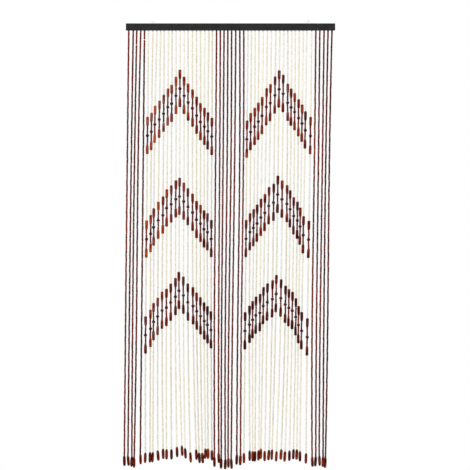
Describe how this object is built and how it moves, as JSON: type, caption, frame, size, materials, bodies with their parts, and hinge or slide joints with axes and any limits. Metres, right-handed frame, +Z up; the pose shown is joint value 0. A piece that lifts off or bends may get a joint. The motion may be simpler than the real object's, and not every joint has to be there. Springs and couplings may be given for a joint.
{
  "type": "bead curtain and rail",
  "caption": "Doorway curtain of wooden beads on strings, in dark and cream bands with chevrons of large red-brown beads, hanging from a flat black rail",
  "frame": {"origin": "Centre of the rail's back face, which lies flat against the wall or frame above the doorway.", "axes": "+Z is up, +X runs along the rail to the right as seen from the front, and +Y points back into the wall; the front faces -Y."},
  "size_m": [0.9114, 0.0217, 1.9326],
  "materials": {
    "rail_paint": "black satin paint on wood",
    "bead_dark": "dark brown stained wood, lightly waxed",
    "bead_cream": "cream painted wood, satin",
    "bead_varnish": "red-brown stained wood, glossy varnish",
    "eye_steel": "zinc-plated wire"
  },
  "bodies": {
    "root": {"rail": "rail_paint", "eye_left": "eye_steel", "eye_right": "eye_steel", "strings_dark_left": "bead_dark", "strings_cream_left": "bead_cream", "strings_dark_centre": "bead_dark", "strings_cream_right": "bead_cream", "strings_dark_right": "bead_dark"}
  },
  "joints": []
}
